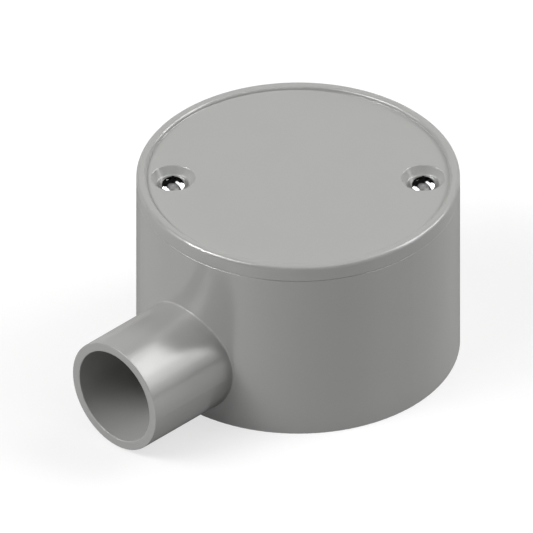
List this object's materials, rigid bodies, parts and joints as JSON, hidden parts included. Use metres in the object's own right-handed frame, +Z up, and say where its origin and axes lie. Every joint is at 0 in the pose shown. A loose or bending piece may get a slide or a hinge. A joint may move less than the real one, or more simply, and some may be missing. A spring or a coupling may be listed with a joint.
{
  "type": "round junction box",
  "caption": "Round plastic conduit junction box with an open push-in conduit socket on its side and a flat screwed lid with raised rim, for joining wires in a dry round cavity.",
  "frame": {"origin": "middle of the flat underside of the box, on the axis of its round wall", "axes": "+Z up through the lid, -Y out through the conduit socket, +X to the right seen from the socket"},
  "size_m": [0.066, 0.086, 0.0414],
  "materials": {
    "grey_plastic": "semi-gloss moulded grey, evenly coloured",
    "plated_steel": "bright plated",
    "brass": "turned and knurled"
  },
  "bodies": {
    "root": {"box": "grey_plastic", "thread_insert_far": "brass", "thread_insert_near": "brass"},
    "lid": {"lid": "grey_plastic"},
    "screw_far": {"lid_screw_far": "plated_steel"},
    "screw_near": {"lid_screw_near": "plated_steel"}
  },
  "joints": [
    {"name": "lid_lift", "type": "slide", "parent": "root", "child": "lid", "axis": [0, 0, 1], "range_m": [0, 0.02]},
    {"name": "screw_far_turn", "type": "hinge", "parent": "lid", "child": "screw_far", "pos_m": [0.01803, 0.01803, 0.03885], "axis": [0, 0, 1], "continuous": true},
    {"name": "screw_near_turn", "type": "hinge", "parent": "lid", "child": "screw_near", "pos_m": [-0.01803, -0.01803, 0.03885], "axis": [0, 0, 1], "continuous": true}
  ]
}
